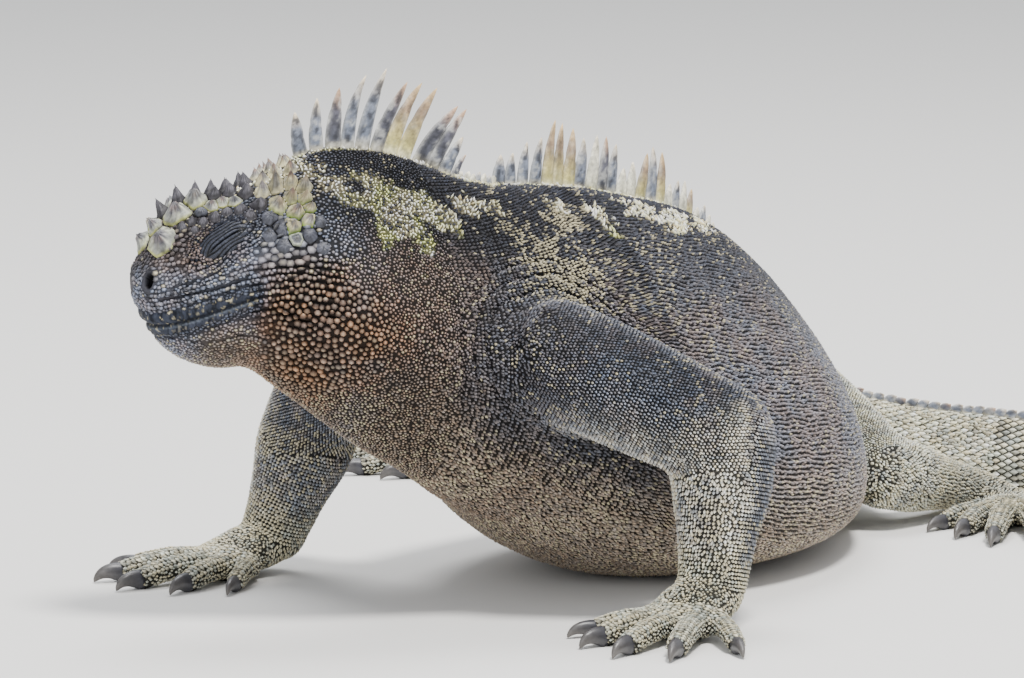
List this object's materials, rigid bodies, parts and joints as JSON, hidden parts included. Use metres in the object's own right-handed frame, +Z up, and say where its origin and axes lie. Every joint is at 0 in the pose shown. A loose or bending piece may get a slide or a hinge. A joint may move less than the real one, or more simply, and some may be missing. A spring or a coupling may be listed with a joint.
{
  "type": "marine iguana figure",
  "caption": "Life-size marine iguana lying on its belly with chest and head raised, head turned, eyes closed, spiny crest from nape to tail, conical head scales and clawed feet",
  "frame": {"origin": "middle of the flat of the belly, where the animal rests on the floor", "axes": "+Z up, the snout towards -X and the tail towards +X, the animal's left side towards -Y"},
  "size_m": [0.7837, 0.4236, 0.195],
  "materials": {
    "hide": "matt scaly hide",
    "head_hide": "matt scaly hide",
    "tail_hide": "matt scaly hide",
    "eyelid": "satin",
    "claw": "satin horn"
  },
  "bodies": {
    "root": {"arm_left": "hide", "arm_right": "hide", "claw_foot_left_1": "claw", "claw_foot_left_2": "claw", "claw_foot_left_3": "claw", "claw_foot_left_4": "claw", "claw_foot_left_5": "claw", "claw_foot_right_1": "claw", "claw_foot_right_2": "claw", "claw_foot_right_3": "claw", "claw_foot_right_4": "claw", "claw_foot_right_5": "claw", "claw_hand_left_1": "claw", "claw_hand_left_2": "claw", "claw_hand_left_3": "claw", "claw_hand_left_4": "claw", "claw_hand_left_5": "claw", "claw_hand_right_1": "claw", "claw_hand_right_2": "claw", "claw_hand_right_3": "claw", "claw_hand_right_4": "claw", "claw_hand_right_5": "claw", "eye_left": "eyelid", "eye_right": "eyelid", "foot_left": "hide", "foot_right": "hide", "hand_left": "hide", "hand_right": "hide", "head": "head_hide", "neck": "hide", "shin_left": "hide", "shin_right": "hide", "tail_1": "tail_hide", "tail_2": "tail_hide", "tail_3": "tail_hide", "tail_4": "tail_hide", "tail_5": "tail_hide", "thigh_right": "hide", "torso": "hide"}
  },
  "joints": []
}
